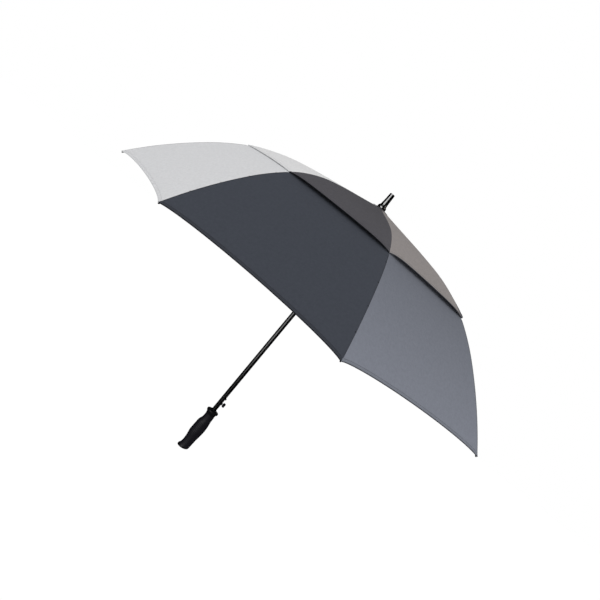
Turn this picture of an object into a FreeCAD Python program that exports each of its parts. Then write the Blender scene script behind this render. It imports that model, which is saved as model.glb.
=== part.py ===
"""Automatic golf umbrella with a double, vented canopy. Writes one STEP file per piece.

Millimetres. Z runs up the shaft, from the lowest point of the handle to the ferrule's tip.
The push button faces +X, and the ribs stand at multiples of 45 degrees from +X.
The umbrella is drawn fully open. In a rib's own plane, a point is (r, z).
"""
import FreeCAD
import Part
import math
import os
from FreeCAD import Vector

# Whole umbrella
LENGTH = 958.0
RIB_COUNT = 8
RIB_ANGLE = 360.0 / RIB_COUNT
HALF_ANGLE = math.radians(RIB_ANGLE / 2)
UP = Vector(0, 0, 1)
OUT = Vector(1, 0, 0)
OVERLAP = 1.0
CUT_MARGIN = 2.0

# Canopy: fractions along a rib, and its slope there in degrees below horizontal
RIB_LENGTH = 757.0
CROWN_Z = 907.5
STATIONS = [0.0, 0.12, 0.2, 0.34, 0.48, 0.548, 0.7, 0.85, 1.0]
SLOPES = [11.0, 10.5, 10.1, 12.8, 23.8, 31.0, 40.7, 45.6, 51.2]
CLOTH = 0.8
LAYER_GAP = 0.5
SEAM_GAP = 0.15
VENT_START = 0.0178
VENT_HEM = 0.548
VENT_SCALLOP = 8.4
MAIN_START = 0.5
MAIN_SCALLOP = 16.4

# Frame linkage: every rib and its stretcher make an isosceles triangle with the shaft
PIVOT_R = 12.0
NOTCH_Z = 897.0
BRACKET_AT = 0.47
BEND_AT = 0.48
BEND_GAP = 3.0
ROD_BLEND = 0.2
ROD_R = 2.0
ROD_TOP_GAP = 0.4
BRACKET_DROP = 7.2
EYE_R = 2.4
EYE_WIDTH = 3.0
EYE_REACH = 9.0
EYE_HOLE_R = 0.9
WIRE_R = 0.6
WIRE_CHANNEL_R = 0.62
SLOT_WIDTH = 3.8
SLOT_FLOOR_R = 9.0
STRETCHER_R = 1.9
LUG_WIDTH = 2.4
LUG_R = 2.5
CHEEK = 1.2
FORK_LENGTH = 4.0
CHEEK_GAP = 0.3
CHEEK_R = 2.5
PIN_R = 1.0
PIN_HOLE_R = 1.05
PIN_HEAD_R = 1.8
PIN_HEAD = 0.6
BALL_R = 2.6
TIP_R = 3.0
TIP_LENGTH = 14.0
TIP_DROP = 1.3
FORK_ROOT_GAP = 1.6
FORK_SOLID = 1.5

# Shaft and what is fixed to it
SHAFT_R = 7.0
SHAFT_BORE_R = 6.0
SHAFT_BOTTOM = 22.0
SHAFT_TOP = 912.0
NOTCH_R = 16.0
NOTCH_HALF = 6.0
NOTCH_SKIRT = 14.0
NOTCH_SKIRT_R = 10.0
NOTCH_ROOF = 1.5
ANCHOR_Z = 883.0
CROSS_PIN_R = 1.2
CROSS_PIN_SHORT = 0.4
PLUG_HEIGHT = 12.0
PLUG_FLANGE = 2.0
ROSETTE_R = 25.0
ROSETTE_GAP = 0.3
CAP_BOTTOM = 907.6
CAP_TOP = 915.5
CAP_R = 12.8
CAP_BEVEL = 2.5
FERRULE_BASE_R = 8.8
FERRULE_NECK = 4.0
FERRULE_TIP_R = 7.0
FERRULE_TIP_LENGTH = 16.0

# Runner
RUNNER_R = 16.0
RUNNER_SLEEVE_R = 10.6
RUNNER_BORE_R = 7.35
RUNNER_RISE = 5.0
RUNNER_HEAD = 11.0
RUNNER_DROP = 32.0
RUNNER_LIP = 3.0
RUNNER_LIP_R = 13.5
RUNNER_FLOOR = 2.0
TRACK_WIDTH = 4.2
LUG_SIDE = 3.6
LUG_BELOW = 9.0
LUG_HEIGHT = 8.0
LUG_REACH = 9.6
PLUNGER_R = 5.7
PLUNGER_LENGTH = 18.0
PLUNGER_BELOW = 14.0
TRACK_MARGIN = 3.0
CLOSED_ANGLE = 3.0
SPRING_COIL_R = 4.3
SPRING_WIRE_R = 0.75
SPRING_PITCH = 3.0
SPRING_GAP = 0.3

# Handle and button
COLLAR_BOTTOM = 137.0
COLLAR_RIM_TOP = 145.0
COLLAR_TOP = 149.0
COLLAR_R = 18.9
COLLAR_FOOT_R = 14.8
COLLAR_TOP_R = 9.6
COLLAR_NECK_R = 8.2
BUTTON_Z = 175.5
BUTTON_HEIGHT = 13.0
BUTTON_WIDTH = 9.0
BUTTON_INNER_X = 11.6
BUTTON_OUTER_X = 17.8
BUTTON_FILLET = 1.5
BUTTON_STEM_R = 2.2
STEM_GAP = 0.3
BUTTON_HOLE_R = 2.5
CATCH_PIVOT_Z = 125.0
CATCH_TOP = 200.0
CATCH_WIDTH = 5.0
CATCH_NOSE_X = 9.6
CATCH_NOSE_BOTTOM = 191.6
CATCH_NOSE_TOP = 197.4
CATCH_CLEARANCE = 0.4
CATCH_FACE_X = 2.6
CATCH_LEAF = 1.2
CATCH_TAIL = 3.0
CATCH_RAMP = 2.5
CATCH_HUB_R = 2.6
CATCH_HOLE_R = 1.25
MOUTH_MARGIN = 2.5
BUTTON_SPRING_R = 3.3
BUTTON_SPRING_GAP = 1.0
BUTTON_SPRING_PITCH = 0.9
BUTTON_WIRE_R = 0.3
GRIP_DEPTH = 0.94
HEEL_PITCH = 10.2
HEEL_LOWEST = Vector(-12, 0, 0)
HEEL_BLOCK = 100.0
COLLAR_SHIFT = -0.2

# Handle outline: height, side away from the button, side with the button
GRIP_OUTLINE = [
    (8.0, -18.8, 15.0),
    (13.0, -16.8, 15.5),
    (24.0, -15.5, 16.0),
    (41.0, -16.6, 16.8),
    (58.0, -19.3, 18.6),
    (81.0, -19.0, 19.8),
    (100.0, -18.2, 18.2),
    (110.0, -14.2, 16.4),
    (122.0, -13.4, 15.8),
    (137.0, -14.2, 15.2),
]

# Heel below the grip, in the same terms
HEEL_OUTLINE = [
    (0.0, -20.6, 8.0),
    (5.0, -20.3, 12.6),
]

# Tie strap, lying under one panel near its hem
STRAP_PANEL = 1
STRAP_LENGTH = 150.0
STRAP_WIDTH = 24.0
STRAP_THICKNESS = 1.4
STRAP_AT = 0.86
STRAP_OFFSET = -2.6


def save(name, *solids):
    """Write one node, made of one or more separate solids."""
    shape = solids[0] if len(solids) == 1 else Part.makeCompound(list(solids))
    shape.exportStep(os.path.join("parts", name + ".step"))


def slope(s):
    """Slope of the canopy along a rib, in radians below horizontal."""
    for i in range(len(STATIONS) - 1):
        if s <= STATIONS[i + 1]:
            break
    part = (s - STATIONS[i]) / (STATIONS[i + 1] - STATIONS[i])
    return math.radians(SLOPES[i] + (SLOPES[i + 1] - SLOPES[i]) * part)


def meridian(s, offset=0.0):
    """Point (r, z) on the canopy above a rib, from a chain of tangent arcs, moved off its surface."""
    r = 0.0
    z = CROWN_Z
    angle = slope(0.0)
    for low, high in zip(STATIONS, STATIONS[1:]):
        if s <= low:
            break
        part = (min(s, high) - low) / (high - low)
        turn = (slope(high) - slope(low)) * part
        middle = slope(low) + turn / 2
        chord = (high - low) * part * RIB_LENGTH * math.sin(turn / 2) / (turn / 2)
        r += chord * math.cos(middle)
        z -= chord * math.sin(middle)
        angle = slope(low) + turn
    return r + offset * math.sin(angle), z + offset * math.cos(angle)


def in_plane(point):
    """Turn (r, z) into a vector in the XZ plane."""
    return Vector(point[0], 0, point[1])


def station_range(start, end):
    """The fractions from start to end, with the stations between them."""
    return [start] + [s for s in STATIONS if start < s < end] + [end]


ROD_OFFSET = -(CLOTH * 2 + LAYER_GAP + ROD_TOP_GAP + ROD_R)
NOTCH_PIVOT = Vector(PIVOT_R, 0, NOTCH_Z)
BRACKET_PIVOT = in_plane(meridian(BRACKET_AT, ROD_OFFSET - BRACKET_DROP))
RUNNER_Z = 2 * BRACKET_PIVOT.z - NOTCH_Z
RUNNER_PIVOT = Vector(PIVOT_R, 0, RUNNER_Z)
CLOSED_RUNNER_Z = NOTCH_Z - 2 * (BRACKET_PIVOT - NOTCH_PIVOT).Length * math.cos(math.radians(CLOSED_ANGLE))
BEND_PIVOT = in_plane(meridian(BEND_AT, ROD_OFFSET))
FORK_WIDTH = LUG_WIDTH + 2 * CHEEK_GAP + 2 * CHEEK


def bar(start, end, radius):
    """A round bar between two points."""
    return Part.makeCylinder(radius, (end - start).Length, start, end - start)


def crossbar(centre, radius, width):
    """A disc standing in a rib's plane, centred on it."""
    return Part.makeCylinder(radius, width, centre - Vector(0, width / 2, 0), Vector(0, 1, 0))


def strap(start, end, radius, width):
    """A flat bar with a rounded start, lying in a rib's plane."""
    along = (end - start).normalize()
    across = Vector(along.z, 0, -along.x) * radius
    side = Vector(0, width / 2, 0)
    corners = [start + across - side, end + across - side, end - across - side, start - across - side]
    flat = Part.Face(Part.makePolygon(corners + corners[:1])).extrude(side * 2)
    return flat.fuse(crossbar(start, radius, width))


def bent_bar(start, middle, end, radius):
    """A round bar along the arc through three points of a rib's plane."""
    arc = Part.Arc(start, middle, end).toShape()
    circle = Part.Circle(start, arc.tangentAt(arc.FirstParameter), radius)
    disc = Part.Face(Part.Wire(circle.toShape()))
    turn = math.degrees(arc.LastParameter - arc.FirstParameter)
    return disc.revolve(arc.Curve.Center, arc.Curve.Axis, turn)


def arc_middle(start, end, end_slope):
    """Middle of the arc from start to end that arrives with the given slope below horizontal."""
    chord = end - start
    half_turn = end_slope - math.atan2(-chord.z, chord.x)
    rise = chord.Length / 2 * math.tan(half_turn / 2)
    normal = Vector(-chord.z, 0, chord.x).normalize()
    return (start + end) * 0.5 + normal * rise


def cut_all(shape, cutters):
    """Cut a list of shapes from a shape."""
    return shape.cut(Part.makeCompound(cutters))


def around(shape, index):
    """A copy of a shape drawn in the +X rib plane, turned to rib number index."""
    copy = shape.copy()
    copy.rotate(Vector(0, 0, 0), UP, index * RIB_ANGLE)
    return copy


def ring(radius, height, bottom, bore):
    """A washer or sleeve around the shaft."""
    outer = Part.makeCylinder(radius, height, UP * bottom)
    return outer.cut(Part.makeCylinder(bore, height + 2 * CUT_MARGIN, UP * (bottom - CUT_MARGIN)))


def turned(outline):
    """A solid of revolution about Z from a closed outline of (r, z) points."""
    points = [in_plane(p) for p in outline]
    face = Part.Face(Part.makePolygon(points + points[:1]))
    return face.revolve(Vector(0, 0, 0), UP, 360)


def slots(inner_r, outer_r, bottom, top):
    """Radial cutters, one for each rib."""
    length = outer_r - inner_r + CUT_MARGIN
    corner = Vector(inner_r, -SLOT_WIDTH / 2, bottom)
    cutter = Part.makeBox(length, SLOT_WIDTH, top - bottom, corner)
    return [around(cutter, k) for k in range(RIB_COUNT)]


def pivot_wire(z, radius):
    """The wire ring that strings the eyes of the ribs or the stretchers."""
    return Part.makeTorus(PIVOT_R, radius, Vector(0, 0, z), UP)


def rod_spans(start, end):
    """The sprung rod under the canopy, between two fractions of the rib."""
    marks = station_range(start, end)
    spans = []
    for low, high in zip(marks, marks[1:]):
        points = [in_plane(meridian(s, ROD_OFFSET)) for s in (low, (low + high) / 2, high)]
        spans.append(bent_bar(*points, ROD_R))
    return spans


def rib_inner():
    """Sprung rod from the notch to its bend, with its eye, its bracket lug and the rivet."""
    joint = in_plane(meridian(ROD_BLEND, ROD_OFFSET))
    rise = arc_middle(NOTCH_PIVOT, joint, slope(ROD_BLEND))
    rod = bent_bar(NOTCH_PIVOT, rise, joint, ROD_R)
    rod = rod.fuse(rod_spans(ROD_BLEND, BEND_AT - BEND_GAP / RIB_LENGTH))
    rod = rod.cut(crossbar(NOTCH_PIVOT, EYE_REACH - OVERLAP, 4 * ROD_R))
    start_slope = math.atan2(rise.z - NOTCH_PIVOT.z, rise.x - NOTCH_PIVOT.x)
    reach = Vector(math.cos(start_slope), 0, math.sin(start_slope)) * EYE_REACH
    eye = strap(NOTCH_PIVOT, NOTCH_PIVOT + reach, EYE_R, EYE_WIDTH)
    lug = strap(BRACKET_PIVOT, in_plane(meridian(BRACKET_AT, ROD_OFFSET)), LUG_R, LUG_WIDTH)
    rod = rod.fuse(eye.cut(crossbar(NOTCH_PIVOT, EYE_HOLE_R, EYE_WIDTH + CUT_MARGIN)))
    rod = rod.fuse(lug).removeSplitter()
    return rod.fuse(rivet())


def rivet():
    """Rivet through the bracket lug and both cheeks of the stretcher's fork."""
    head_y = FORK_WIDTH / 2 + CHEEK_GAP
    pin = crossbar(BRACKET_PIVOT, PIN_R, 2 * (head_y + PIN_HEAD))
    for side in (-1, 1):
        head = crossbar(BRACKET_PIVOT, PIN_HEAD_R, PIN_HEAD)
        head.translate(Vector(0, side * (head_y + PIN_HEAD / 2), 0))
        pin = pin.fuse(head)
    return pin


def rib_outer():
    """Sprung rod from the ball at the bend to the tip, with the tip's cap."""
    bend_slope = slope(BEND_AT)
    inward = Vector(-math.cos(bend_slope), 0, math.sin(bend_slope))
    rod = Part.makeSphere(BALL_R, BEND_PIVOT, inward).fuse(rod_spans(BEND_AT, 1.0))
    end = in_plane(meridian(1.0, ROD_OFFSET - TIP_DROP))
    outward = Vector(math.cos(slope(1.0)), 0, -math.sin(slope(1.0)))
    cap = bar(end - outward * (TIP_LENGTH - TIP_R), end + outward * TIP_R / 2, TIP_R)
    knob = Part.makeSphere(TIP_R, end + outward * TIP_R / 2, outward)
    return rod.fuse(cap).fuse(knob).removeSplitter()


def stretcher():
    """Strut with an eye on the runner's wire and a fork on the rib's lug."""
    along = (RUNNER_PIVOT - BRACKET_PIVOT).normalize()
    fork_root = BRACKET_PIVOT + along * (LUG_R + FORK_ROOT_GAP)
    fork_end = fork_root + along * FORK_LENGTH
    fork = strap(BRACKET_PIVOT, fork_end, CHEEK_R, FORK_WIDTH)
    gap = strap(BRACKET_PIVOT, fork_root, CHEEK_R + CUT_MARGIN, LUG_WIDTH + 2 * CHEEK_GAP)
    fork = fork.cut(gap).cut(crossbar(BRACKET_PIVOT, PIN_HOLE_R, FORK_WIDTH + CUT_MARGIN))
    eye = strap(RUNNER_PIVOT, RUNNER_PIVOT - along * (EYE_REACH + OVERLAP), EYE_R, EYE_WIDTH)
    eye = eye.cut(crossbar(RUNNER_PIVOT, EYE_HOLE_R, EYE_WIDTH + CUT_MARGIN))
    rod = bar(fork_root + along * FORK_SOLID, RUNNER_PIVOT - along * EYE_REACH, STRETCHER_R)
    return rod.fuse(fork).fuse(eye).removeSplitter()


def panel_profile(marks, offset):
    """Edges along the middle of a panel, as arcs between the given fractions of the rib."""
    edges = []
    for low, high in zip(marks, marks[1:]):
        points = []
        for s in (low, (low + high) / 2, high):
            r, z = meridian(s, offset)
            points.append(Vector(r * math.cos(HALF_ANGLE), 0, z))
        edges.append(Part.Arc(*points).toShape())
    return edges


def panel(start, end, offset, scallop):
    """One cloth panel, straight across from rib to rib, drawn about the +X axis."""
    marks = station_range(start, end)
    outer = panel_profile(marks, offset)
    inner = panel_profile(marks, offset - CLOTH)
    first = Part.makeLine(outer[0].firstVertex().Point, inner[0].firstVertex().Point)
    last = Part.makeLine(outer[-1].lastVertex().Point, inner[-1].lastVertex().Point)
    face = Part.Face(Part.Wire(Part.__sortEdges__(outer + inner + [first, last])))
    half_chord = meridian(end, offset)[0] * math.sin(HALF_ANGLE)
    face.translate(Vector(0, -half_chord, 0))
    sheet = face.extrude(Vector(0, 2 * half_chord, 0))
    return sheet.common(wedge()).cut(scallop_cutter(end, offset, half_chord, scallop))


def wedge():
    """The sector between two ribs, less half a seam gap on each side."""
    far = 2 * RIB_LENGTH
    tip = SEAM_GAP / math.sin(HALF_ANGLE)
    side = (far - tip) * math.tan(HALF_ANGLE)
    points = [(tip, 0), (far, side), (far, -side)]
    corners = [Vector(x, y, 0) for x, y in points]
    return Part.Face(Part.makePolygon(corners + corners[:1])).extrude(UP * LENGTH)


def scallop_cutter(end, offset, half_chord, depth):
    """Elliptical bite that curves a panel's hem in between two rib tips."""
    r, z = meridian(end, offset)
    angle = slope(end)
    normal = Vector(math.sin(angle), 0, math.cos(angle))
    centre = Vector(r * math.cos(HALF_ANGLE), 0, z) - normal * RIB_LENGTH / 20
    side = centre + Vector(0, half_chord, 0)
    inward = Vector(-math.cos(angle), 0, math.sin(angle))
    ellipse = Part.Ellipse(side, centre + inward * depth, centre)
    return Part.Face(Part.Wire(ellipse.toShape())).extrude(normal * RIB_LENGTH / 10)


def shaft():
    """Hollow shaft with the runner's track on +Y and the holes for the button, catch and pins."""
    tube = ring(SHAFT_R, SHAFT_TOP - SHAFT_BOTTOM, SHAFT_BOTTOM, SHAFT_BORE_R)
    travel = RUNNER_Z - CLOSED_RUNNER_Z
    track_low = Vector(-TRACK_WIDTH / 2, 0, CLOSED_RUNNER_Z - LUG_BELOW - TRACK_MARGIN)
    track = Part.makeBox(TRACK_WIDTH, 2 * SHAFT_R, travel + LUG_HEIGHT + 2 * TRACK_MARGIN, track_low)
    stem_hole = Part.makeCylinder(BUTTON_HOLE_R, 2 * SHAFT_R, UP * BUTTON_Z, OUT)
    mouth_low = Vector(0, -CATCH_WIDTH / 2 - CATCH_CLEARANCE, CATCH_NOSE_BOTTOM - MOUTH_MARGIN)
    mouth_height = CATCH_NOSE_TOP - CATCH_NOSE_BOTTOM + 2 * MOUTH_MARGIN
    mouth = Part.makeBox(2 * SHAFT_R, CATCH_WIDTH + 2 * CATCH_CLEARANCE, mouth_height, mouth_low)
    pin_holes = [crossbar(UP * z, CROSS_PIN_R, 4 * SHAFT_R) for z in (CATCH_PIVOT_Z, ANCHOR_Z)]
    return cut_all(tube, [track, stem_hole, mouth] + pin_holes)


def cross_pin(z):
    """Pin through both walls of the shaft, along Y, ending just under its surface."""
    return crossbar(UP * z, CROSS_PIN_R, 2 * SHAFT_R - CROSS_PIN_SHORT)


def shaft_plug():
    """Plastic plug that closes the shaft's lower end and centres it in the handle."""
    plug = Part.makeCylinder(SHAFT_BORE_R, PLUG_HEIGHT, UP * SHAFT_BOTTOM)
    flange = Part.makeCylinder(SHAFT_R, PLUG_FLANGE, UP * (SHAFT_BOTTOM - PLUG_FLANGE))
    return plug.fuse(flange)


def grip_section(z, away, toward):
    """Oval section of the handle at one height."""
    centre = Vector((away + toward) / 2, 0, z)
    half = (toward - away) / 2
    return Part.Wire(Part.Ellipse(centre, half, half * GRIP_DEPTH).toShape())


def handle_grip():
    """Contoured rubber grip, bored for the shaft."""
    sections = [grip_section(*row) for row in GRIP_OUTLINE]
    grip = Part.makeLoft(sections, True, False)
    bore = Part.makeCylinder(SHAFT_R, LENGTH, UP * (SHAFT_BOTTOM - PLUG_FLANGE))
    return grip.cut(bore)


def handle_end_cap():
    """Slanted heel that closes the grip and flares away from the button."""
    sections = [grip_section(*row) for row in HEEL_OUTLINE + GRIP_OUTLINE[:1]]
    heel = Part.makeLoft(sections, True, False)
    corner = Vector(-HEEL_BLOCK / 2, -HEEL_BLOCK / 2, -HEEL_BLOCK)
    block = Part.makeBox(HEEL_BLOCK, HEEL_BLOCK, HEEL_BLOCK, corner)
    block.rotate(HEEL_LOWEST, Vector(0, 1, 0), -HEEL_PITCH)
    return heel.cut(block)


def handle_collar():
    """Rim on top of the grip that shields the hand, with a cone up to the shaft."""
    outline = [
        (SHAFT_R, COLLAR_BOTTOM),
        (COLLAR_FOOT_R, COLLAR_BOTTOM),
        (COLLAR_R, COLLAR_BOTTOM + 2),
        (COLLAR_R, COLLAR_RIM_TOP - 2),
        (COLLAR_R - 1.6, COLLAR_RIM_TOP),
        (COLLAR_TOP_R, COLLAR_TOP - 1),
        (COLLAR_TOP_R - 1, COLLAR_TOP),
        (SHAFT_R, COLLAR_TOP),
    ]
    collar = turned(outline)
    collar.translate(OUT * COLLAR_SHIFT)
    collar = collar.cut(Part.makeCylinder(SHAFT_R, LENGTH))
    return collar.fuse(ring(COLLAR_NECK_R, COLLAR_TOP - COLLAR_BOTTOM, COLLAR_BOTTOM, SHAFT_R))


def push_button():
    """Button cap on a round stem that runs through the shaft wall to the catch."""
    low = Vector(BUTTON_INNER_X, -BUTTON_WIDTH / 2, BUTTON_Z - BUTTON_HEIGHT / 2)
    cap = Part.makeBox(BUTTON_OUTER_X - BUTTON_INNER_X, BUTTON_WIDTH, BUTTON_HEIGHT, low)
    corners = [e for e in cap.Edges if abs(e.tangentAt(e.FirstParameter).x) > 0.9]
    cap = cap.makeFillet(BUTTON_WIDTH / 3, corners)
    face = max(cap.Faces, key=lambda f: f.CenterOfMass.x)
    cap = cap.makeFillet(BUTTON_FILLET, face.Edges)
    start = CATCH_FACE_X + STEM_GAP
    length = BUTTON_INNER_X - start + OVERLAP
    stem = Part.makeCylinder(BUTTON_STEM_R, length, Vector(start, 0, BUTTON_Z), OUT)
    return cap.fuse(stem)


def coil(radius, wire_r, pitch, height):
    """Open helical spring standing on the XY plane."""
    path = Part.Wire(Part.makeHelix(pitch, height, radius))
    section = Part.Wire(Part.Circle(Vector(radius, 0, 0), Vector(0, 1, 0), wire_r).toShape())
    return path.makePipeShell([section], True, True)


def button_spring():
    """Small return spring around the button's stem."""
    length = BUTTON_INNER_X - SHAFT_R - 2 * BUTTON_SPRING_GAP
    spring = coil(BUTTON_SPRING_R, BUTTON_WIRE_R, BUTTON_SPRING_PITCH, length)
    spring.rotate(Vector(0, 0, 0), Vector(0, 1, 0), 90)
    spring.translate(Vector(SHAFT_R + BUTTON_SPRING_GAP, 0, BUTTON_Z))
    return spring


def latch_catch():
    """Leaf inside the shaft, hung on a pin, with the nose that holds the runner down."""
    leaf_bottom = CATCH_PIVOT_Z - CATCH_TAIL
    leaf_low = Vector(CATCH_FACE_X - CATCH_LEAF, -CATCH_WIDTH / 2, leaf_bottom)
    leaf = Part.makeBox(CATCH_LEAF, CATCH_WIDTH, CATCH_TOP - leaf_bottom, leaf_low)
    nose = [
        (CATCH_FACE_X - CATCH_LEAF, CATCH_NOSE_TOP),
        (SHAFT_R, CATCH_NOSE_TOP),
        (CATCH_NOSE_X, CATCH_NOSE_TOP - CATCH_RAMP),
        (CATCH_NOSE_X, CATCH_NOSE_BOTTOM),
        (CATCH_FACE_X - CATCH_LEAF, CATCH_NOSE_BOTTOM),
    ]
    side = Vector(0, CATCH_WIDTH, 0)
    points = [in_plane(p) - side * 0.5 for p in nose]
    wedge_nose = Part.Face(Part.makePolygon(points + points[:1])).extrude(side)
    hub = crossbar(UP * CATCH_PIVOT_Z, CATCH_HUB_R, CATCH_WIDTH)
    body = leaf.fuse(wedge_nose).fuse(hub)
    return body.cut(crossbar(UP * CATCH_PIVOT_Z, CATCH_HOLE_R, CATCH_WIDTH + CUT_MARGIN))


def crown_notch():
    """Slotted crown pinned to the shaft, where the ribs hang on their wire."""
    body = ring(NOTCH_R, 2 * NOTCH_HALF, NOTCH_Z - NOTCH_HALF, SHAFT_R)
    bottom = NOTCH_Z - NOTCH_HALF - NOTCH_SKIRT
    body = body.fuse(ring(NOTCH_SKIRT_R, NOTCH_SKIRT, bottom, SHAFT_R))
    cutters = slots(SLOT_FLOOR_R, NOTCH_R, bottom - CUT_MARGIN, NOTCH_Z + NOTCH_HALF - NOTCH_ROOF)
    cutters.append(pivot_wire(NOTCH_Z, WIRE_CHANNEL_R))
    cutters.append(cross_pin(ANCHOR_Z))
    return cut_all(body, cutters)


def crown_rosette():
    """Cloth disc that covers the centre of the canopy, sloping with it."""
    fall = math.tan(slope(0.0))
    inner_z = CROWN_Z + ROSETTE_GAP - SHAFT_R * fall
    outer_z = CROWN_Z + ROSETTE_GAP - ROSETTE_R * fall
    return turned([
        (SHAFT_R, inner_z),
        (ROSETTE_R, outer_z),
        (ROSETTE_R, outer_z + CLOTH),
        (SHAFT_R, inner_z + CLOTH),
    ])


def crown_cap():
    """Dome that clamps the canopy's centre around the shaft."""
    return turned([
        (SHAFT_R, CAP_BOTTOM),
        (CAP_R, CAP_BOTTOM),
        (CAP_R, CAP_TOP - CAP_BEVEL),
        (CAP_R - CAP_BEVEL, CAP_TOP),
        (SHAFT_R, CAP_TOP),
    ])


def ferrule():
    """Spike over the shaft's top end, with a short parallel tip."""
    return turned([
        (0, SHAFT_TOP),
        (SHAFT_R, SHAFT_TOP),
        (SHAFT_R, CAP_TOP),
        (FERRULE_BASE_R, CAP_TOP),
        (FERRULE_BASE_R, CAP_TOP + FERRULE_NECK),
        (FERRULE_TIP_R, LENGTH - FERRULE_TIP_LENGTH),
        (FERRULE_TIP_R, LENGTH - 1),
        (FERRULE_TIP_R - 1, LENGTH),
        (0, LENGTH),
    ])


def runner():
    """Sliding head with the stretcher slots, its sleeve and the catch window."""
    top = RUNNER_Z + RUNNER_RISE
    bottom = RUNNER_Z - RUNNER_DROP
    head = ring(RUNNER_R, RUNNER_HEAD, top - RUNNER_HEAD, RUNNER_BORE_R)
    sleeve = ring(RUNNER_SLEEVE_R, top - RUNNER_HEAD - bottom, bottom, RUNNER_BORE_R)
    lip = ring(RUNNER_LIP_R, RUNNER_LIP, bottom, RUNNER_BORE_R)
    body = head.fuse([sleeve, lip])
    cutters = slots(SLOT_FLOOR_R, RUNNER_R, top - RUNNER_HEAD + RUNNER_FLOOR, top + CUT_MARGIN)
    cutters.append(pivot_wire(RUNNER_Z, WIRE_CHANNEL_R))
    window_low = Vector(0, -CATCH_WIDTH / 2 - 1, bottom + RUNNER_LIP)
    window_height = CATCH_NOSE_TOP - CATCH_NOSE_BOTTOM + 4
    cutters.append(Part.makeBox(RUNNER_R, CATCH_WIDTH + 2, window_height, window_low))
    cutters.append(track_lug())
    return cut_all(body, cutters).removeSplitter()


def track_lug():
    """Lug that reaches from inside the shaft, through its track, into the runner."""
    low = Vector(-LUG_SIDE / 2, 0, RUNNER_Z - LUG_BELOW)
    return Part.makeBox(LUG_SIDE, LUG_REACH, LUG_HEIGHT, low)


def spring_plunger():
    """Plunger inside the shaft that the main spring pulls, with its lug into the runner."""
    body = Part.makeCylinder(PLUNGER_R, PLUNGER_LENGTH, UP * (RUNNER_Z - PLUNGER_BELOW))
    return body.fuse(track_lug())


def main_spring():
    """Extension spring between the plunger and the anchor pin, at its shortest."""
    bottom = RUNNER_Z - PLUNGER_BELOW + PLUNGER_LENGTH + SPRING_WIRE_R + SPRING_GAP
    top = ANCHOR_Z - CROSS_PIN_R - SPRING_WIRE_R - SPRING_GAP
    spring = coil(SPRING_COIL_R, SPRING_WIRE_R, SPRING_PITCH, top - bottom)
    spring.translate(UP * bottom)
    return spring


def tie_strap():
    """Closing strap, lying along the underside of one panel."""
    start = STRAP_AT - STRAP_LENGTH / RIB_LENGTH
    points = []
    for s in (start, (start + STRAP_AT) / 2, STRAP_AT):
        r, z = meridian(s, STRAP_OFFSET)
        points.append(Vector(r * math.cos(HALF_ANGLE), -STRAP_WIDTH / 2, z))
    lower = [p + Vector(0, 0, -STRAP_THICKNESS) for p in points]
    edges = [
        Part.Arc(*points).toShape(),
        Part.makeLine(points[2], lower[2]),
        Part.Arc(*lower).toShape(),
        Part.makeLine(lower[0], points[0]),
    ]
    face = Part.Face(Part.Wire(Part.__sortEdges__(edges)))
    return around(face.extrude(Vector(0, STRAP_WIDTH, 0)), STRAP_PANEL + 0.5)


def save_fixed_parts():
    """Everything that doesn't repeat."""
    save("shaft", shaft())
    save("shaft_plug", shaft_plug())
    save("handle_grip", handle_grip())
    save("handle_end_cap", handle_end_cap())
    save("handle_collar", handle_collar())
    save("push_button", push_button())
    save("button_spring", button_spring())
    save("latch_catch", latch_catch())
    save("latch_pin", cross_pin(CATCH_PIVOT_Z))
    save("crown_notch", crown_notch())
    save("crown_pin", cross_pin(ANCHOR_Z))
    save("crown_wire", pivot_wire(NOTCH_Z, WIRE_R))
    save("crown_rosette", crown_rosette())
    save("crown_cap", crown_cap())
    save("ferrule", ferrule())
    save("runner", runner())
    save("runner_wire", pivot_wire(RUNNER_Z, WIRE_R))
    save("spring_plunger", spring_plunger())
    save("main_spring", main_spring())
    save("tie_strap", tie_strap())


def save_repeated_parts():
    """The pieces that every rib or every panel has."""
    inner = rib_inner()
    outer = rib_outer()
    strut = stretcher()
    vent = panel(VENT_START, VENT_HEM, 0.0, VENT_SCALLOP)
    main = panel(MAIN_START, 1.0, -CLOTH - LAYER_GAP, MAIN_SCALLOP)
    for k in range(RIB_COUNT):
        number = str(k + 1)
        save("rib_" + number, around(inner, k))
        save("rib_end_" + number, around(outer, k))
        save("stretcher_" + number, around(strut, k))
        save("vent_panel_" + number, around(vent, k + 0.5))
        save("main_panel_" + number, around(main, k + 0.5))


os.makedirs("parts", exist_ok=True)
save_fixed_parts()
save_repeated_parts()
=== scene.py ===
"""Looks of the golf umbrella: cloth canopy, ribs, grip, crown, lights and camera, around the CAD frame."""
import bpy
import bmesh
import math
from mathutils import Matrix, Vector


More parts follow.
